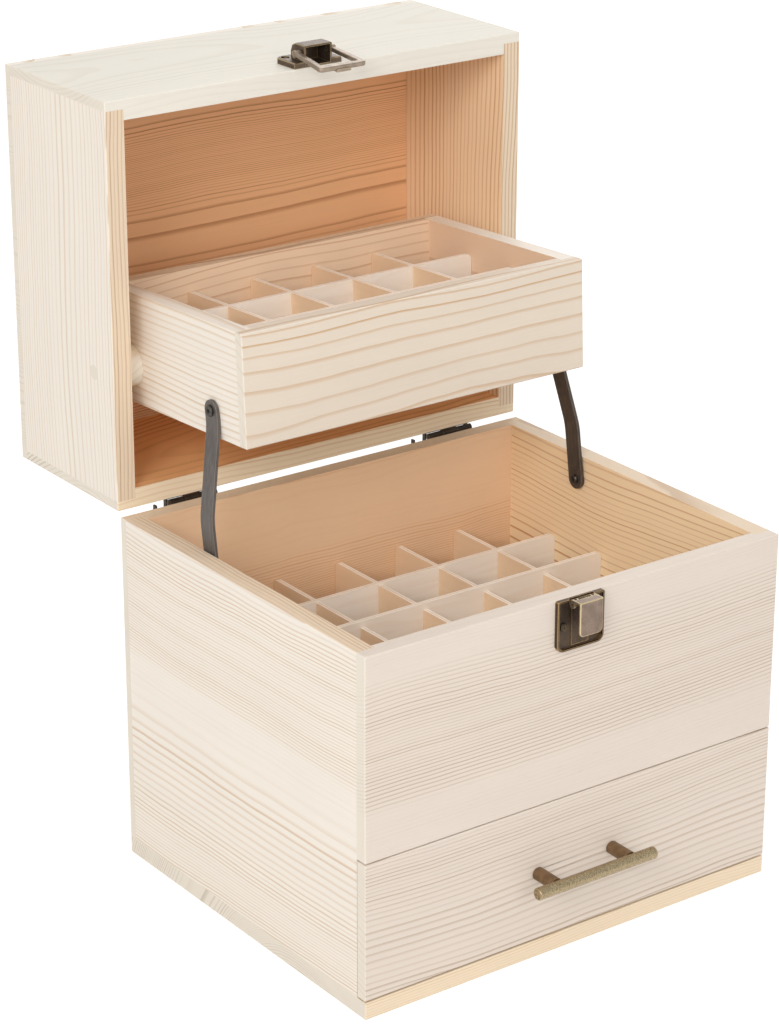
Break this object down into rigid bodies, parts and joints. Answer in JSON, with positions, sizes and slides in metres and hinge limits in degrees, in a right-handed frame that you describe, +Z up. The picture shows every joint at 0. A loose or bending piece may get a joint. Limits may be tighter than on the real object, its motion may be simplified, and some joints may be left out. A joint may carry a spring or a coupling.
{
  "type": "bottle organizer box",
  "caption": "Wooden organizer box for small bottles, with a divided base, a drawer below, and a divided tray that steel links raise as the hinged lid opens.",
  "frame": {"origin": "centre of the base's underside, on the surface that the box stands on", "axes": "+X to the right seen from the drawer's side, +Y to the hinges at the back, +Z up; stored with the lid open on its stops and the drawer shut"},
  "size_m": [0.3, 0.3904, 0.4898],
  "materials": {
    "pine": "bare sanded pine",
    "plywood": "bare plywood",
    "antique_bronze": "antique bronze plate",
    "dark_steel": "blackened steel",
    "dark_screws": "darkened steel"
  },
  "bodies": {
    "case": {"bottom_board": "pine", "base_left_side": "pine", "base_right_side": "pine", "base_back_panel": "pine", "upper_front_panel": "pine", "compartment_floor": "plywood", "base_cross_divider_1": "plywood", "base_cross_divider_2": "plywood", "base_cross_divider_3": "plywood", "base_cross_divider_4": "plywood", "base_cross_divider_5": "plywood", "base_long_divider_1": "plywood", "base_long_divider_2": "plywood", "base_long_divider_3": "plywood", "base_long_divider_4": "plywood", "hinge_base_leaves": "antique_bronze", "hinge_pins": "antique_bronze", "hinge_base_screws": "antique_bronze", "catch_plate": "antique_bronze", "catch_screws": "antique_bronze", "catch_lever_pin": "antique_bronze", "link_base_screws": "dark_screws"},
    "lid": {"lid_front_panel": "pine", "lid_back_panel": "pine", "lid_top_panel": "pine", "lid_left_side": "pine", "lid_right_side": "pine", "hinge_lid_leaves": "antique_bronze", "hinge_lid_screws": "antique_bronze", "latch_plate": "antique_bronze", "latch_screws": "antique_bronze", "ring_pins": "antique_bronze", "tray_pivot_pins": "dark_screws", "pivot_plugs": "pine"},
    "tray": {"tray_front_panel": "pine", "tray_back_panel": "pine", "tray_left_side": "pine", "tray_right_side": "pine", "tray_floor": "plywood", "tray_cross_divider_1": "plywood", "tray_cross_divider_2": "plywood", "tray_cross_divider_3": "plywood", "tray_cross_divider_4": "plywood", "tray_long_divider_1": "plywood", "tray_long_divider_2": "plywood", "pivot_spacers": "pine", "link_tray_screws": "dark_screws"},
    "left_link": {"left_link": "dark_steel"},
    "right_link": {"right_link": "dark_steel"},
    "drawer": {"drawer_front": "pine", "drawer_left_side": "pine", "drawer_right_side": "pine", "drawer_back": "pine", "drawer_floor": "plywood", "handle_bar": "antique_bronze", "handle_posts": "antique_bronze", "handle_screws": "antique_bronze"},
    "latch_ring": {"latch_ring": "antique_bronze"},
    "catch_lever": {"catch_lever": "antique_bronze"}
  },
  "joints": [
    {"name": "lid_hinge", "type": "hinge", "parent": "case", "child": "lid", "pos_m": [0, 0.1276, 0.224], "axis": [1, 0, 0], "range_deg": [0, 90]},
    {"name": "tray_pivot", "type": "hinge", "parent": "lid", "child": "tray", "pos_m": [0, 0.14979, 0.3083], "axis": [1, 0, 0], "range_deg": [-88, 0]},
    {"name": "left_link_pivot", "type": "hinge", "parent": "case", "child": "left_link", "pos_m": [-0.138, 0.04558, 0.20864], "axis": [1, 0, 0], "range_deg": [0, 82]},
    {"name": "right_link_pivot", "type": "hinge", "parent": "case", "child": "right_link", "pos_m": [0.138, 0.04558, 0.20864], "axis": [1, 0, 0], "range_deg": [0, 82]},
    {"name": "drawer_slide", "type": "slide", "parent": "case", "child": "drawer", "axis": [0, -1, 0], "range_m": [0, 0.19]},
    {"name": "latch_ring_hinge", "type": "hinge", "parent": "lid", "child": "latch_ring", "pos_m": [-0.002, 0.1321, 0.4847], "axis": [-1, 0, 0], "range_deg": [0, 120]},
    {"name": "catch_lever_hinge", "type": "hinge", "parent": "case", "child": "catch_lever", "pos_m": [-0.002, -0.1293, 0.221], "axis": [-1, 0, 0], "range_deg": [0, 40]}
  ],
  "couplings": [
    {"joint": "tray_pivot", "follows": "lid_hinge", "ratio": -0.96475},
    {"joint": "left_link_pivot", "follows": "lid_hinge", "ratio": 0.88888},
    {"joint": "right_link_pivot", "follows": "lid_hinge", "ratio": 0.88888}
  ]
}
